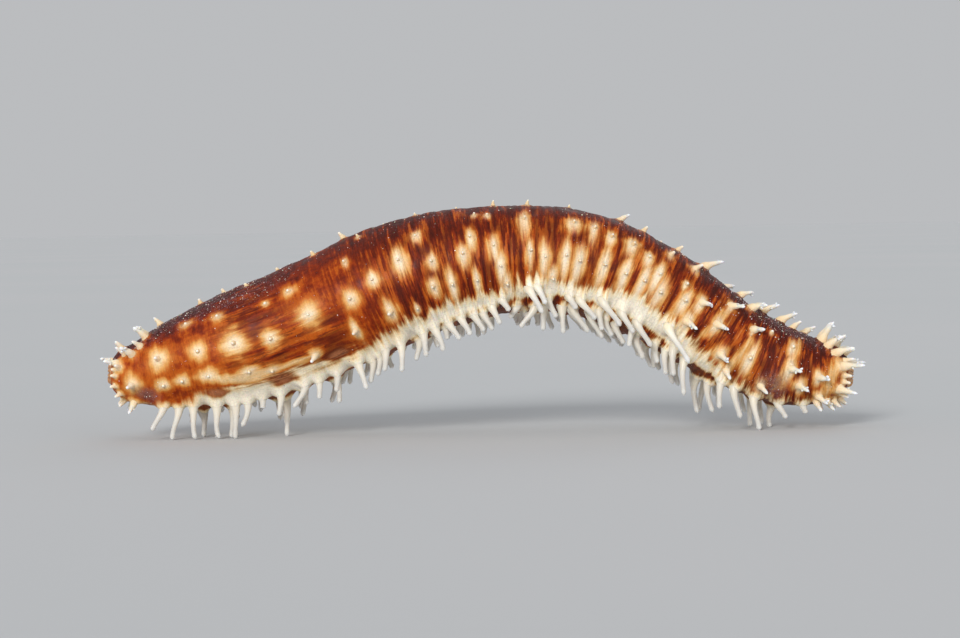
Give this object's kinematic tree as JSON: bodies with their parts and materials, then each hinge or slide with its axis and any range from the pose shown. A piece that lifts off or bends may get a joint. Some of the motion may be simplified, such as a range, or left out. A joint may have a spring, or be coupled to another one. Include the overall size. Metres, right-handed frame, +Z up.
{
  "type": "sea cucumber",
  "caption": "Life-size sea cucumber, its leathery body arched on the tube feet of both ends, with pale-ringed papillae on its back and a crown of them round the mouth.",
  "frame": {"origin": "on the floor under the middle of the animal's box, at the level of the standing tube feet", "axes": "+X along the body from the vent towards the mouth, +Z up, and the near flank faces -Y"},
  "size_m": [0.1758, 0.0356, 0.0536],
  "materials": {
    "skin": "moist satin, red-brown with cream spots and a white band above the sole",
    "lips": "moist satin, puckered"
  },
  "bodies": {
    "root": {"vent_end": "skin", "hind_body": "skin", "hind_middle": "skin", "fore_middle": "skin", "fore_body": "skin", "oral_end": "skin", "vent": "lips", "mouth": "lips"}
  },
  "joints": []
}
